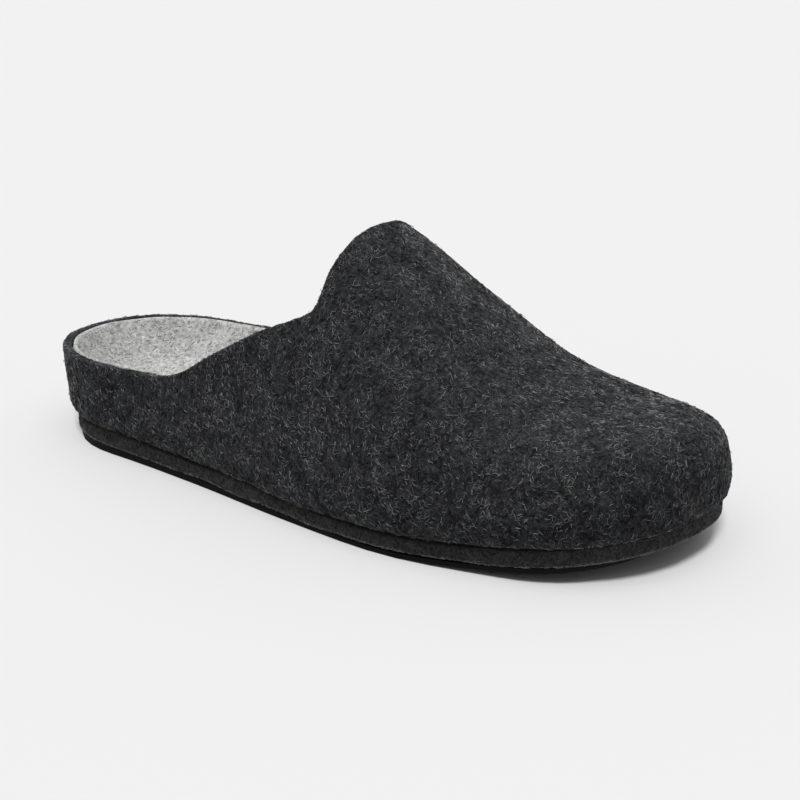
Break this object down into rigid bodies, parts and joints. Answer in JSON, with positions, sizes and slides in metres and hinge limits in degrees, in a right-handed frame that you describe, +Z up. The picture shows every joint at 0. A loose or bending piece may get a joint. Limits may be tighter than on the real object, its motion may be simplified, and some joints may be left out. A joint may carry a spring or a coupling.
{
  "type": "mule slipper",
  "caption": "Felt mule slipper for the right foot: moulded upper with a raised tongue and a low heel cup, cupped footbed, dark felt band and thin rubber sole.",
  "frame": {"origin": "on the floor under the middle of the slipper's box", "axes": "+X towards the toe, +Z up, -Y towards the outer side of the right foot"},
  "size_m": [0.279, 0.1068, 0.1011],
  "materials": {
    "upper_felt": "charcoal melange wool felt",
    "insole_felt": "light grey wool felt",
    "band_felt": "dense near-black felt",
    "sole_rubber": "matte black rubber"
  },
  "bodies": {
    "root": {"upper": "upper_felt", "insole": "insole_felt", "midsole": "band_felt", "outsole": "sole_rubber"}
  },
  "joints": []
}
